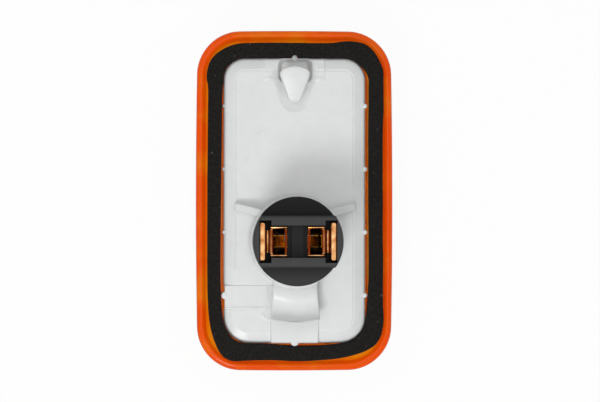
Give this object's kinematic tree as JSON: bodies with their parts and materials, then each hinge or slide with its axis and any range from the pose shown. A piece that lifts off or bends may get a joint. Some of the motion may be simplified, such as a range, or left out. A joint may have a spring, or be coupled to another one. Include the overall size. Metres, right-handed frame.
{
  "type": "side repeater lamp",
  "caption": "Car side repeater lamp: amber lens with a foam seal, white clip-in housing with a hook and a latch strap, and a quarter-turn bulb holder.",
  "frame": {"origin": "middle of the lens front, on the plane that the lamp rests on", "axes": "+Z out of the lamp's back, +Y along its long side towards the hook, +X across it"},
  "size_m": [0.0394, 0.068, 0.0355],
  "materials": {
    "amber_lens": "clear amber acrylic, polished outside",
    "white_housing": "white moulded plastic, semi-gloss",
    "black_foam": "matte closed-cell foam",
    "black_holder": "black moulded polyamide, fine satin",
    "gasket_rubber": "matte rubber",
    "contact_copper": "bare copper alloy strip",
    "bulb_glass": "clear",
    "lead_wire": "bare wire",
    "filament": "tungsten coil"
  },
  "bodies": {
    "lamp": {"lens": "amber_lens", "housing": "white_housing", "foam_seal": "black_foam"},
    "bulb_unit": {"bulb_holder": "black_holder", "holder_gasket": "gasket_rubber", "contact_left": "contact_copper", "contact_right": "contact_copper", "bulb_glass": "bulb_glass", "bulb_lead_left": "lead_wire", "bulb_lead_right": "lead_wire", "bulb_filament": "filament"}
  },
  "joints": [
    {"name": "holder_turn", "type": "hinge", "parent": "lamp", "child": "bulb_unit", "pos_m": [0, -0.008, 0.027], "axis": [0, 0, 1], "range_deg": [0, 45]}
  ]
}
